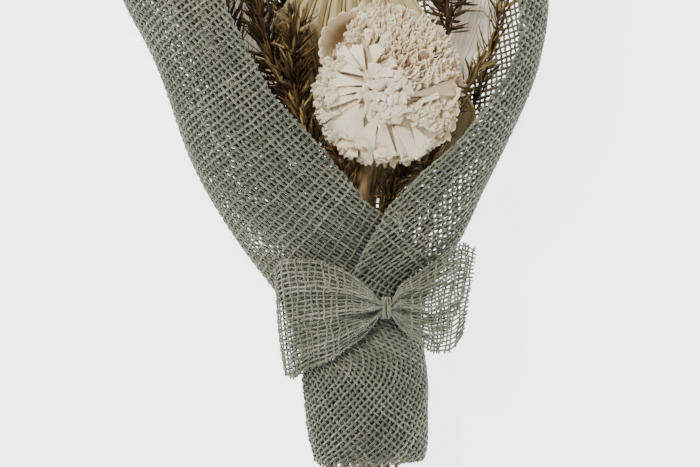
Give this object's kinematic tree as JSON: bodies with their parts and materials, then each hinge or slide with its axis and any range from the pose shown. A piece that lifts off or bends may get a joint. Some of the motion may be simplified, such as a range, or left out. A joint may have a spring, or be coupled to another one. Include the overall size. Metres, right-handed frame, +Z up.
{
  "type": "bunch of dried flowers",
  "caption": "Bunch of dried flowers: a ruffled cream flower, pleated palm spears and brown sprigs in a cone of grey-green open mesh tied with a mesh bow, lying on its back.",
  "frame": {"origin": "on the surface that the bunch lies on, under the middle of its outer box", "axes": "+Y along the bunch from the cut stem ends to the heads, +Z up out of the front of the bunch, +X to the right of the bunch seen from the front"},
  "size_m": [0.2396, 0.3748, 0.1001],
  "materials": {
    "mesh": "open jute weave, sage grey-green",
    "tie_thread": "matte thread",
    "twine": "coarse twine",
    "wood": "dry bark",
    "petal": "matte dry petal",
    "petal_inner": "matte dry petal",
    "palm": "dry pleated leaf, satin",
    "white_palm": "bleached pleated leaf",
    "needles": "dry brown needles"
  },
  "bodies": {
    "root": {"mesh_wrap": "mesh", "mesh_bow": "mesh", "bow_tie": "tie_thread", "stem_binding": "twine", "flower_stem": "wood", "flower_core": "petal_inner", "outer_petal_1": "petal", "outer_petal_2": "petal", "outer_petal_3": "petal", "outer_petal_4": "petal", "outer_petal_5": "petal", "outer_petal_6": "petal", "outer_petal_7": "petal", "outer_petal_8": "petal", "middle_petal_1": "petal", "middle_petal_2": "petal", "middle_petal_3": "petal", "middle_petal_4": "petal", "middle_petal_5": "petal", "middle_petal_6": "petal", "inner_petal_1": "petal_inner", "inner_petal_2": "petal_inner", "inner_petal_3": "petal_inner", "inner_petal_4": "petal_inner", "inner_petal_5": "petal_inner", "palm_spear": "palm", "white_palm_left": "white_palm", "white_palm_right": "white_palm", "sprig_left_long": "needles", "sprig_left_inner": "needles", "sprig_left_low": "needles", "sprig_left_back": "needles", "sprig_right_long": "needles", "sprig_right_low": "needles", "sprig_top_right": "needles", "sprig_under_flower": "needles", "sprig_by_stem": "needles", "sprig_back_middle": "needles"}
  },
  "joints": []
}
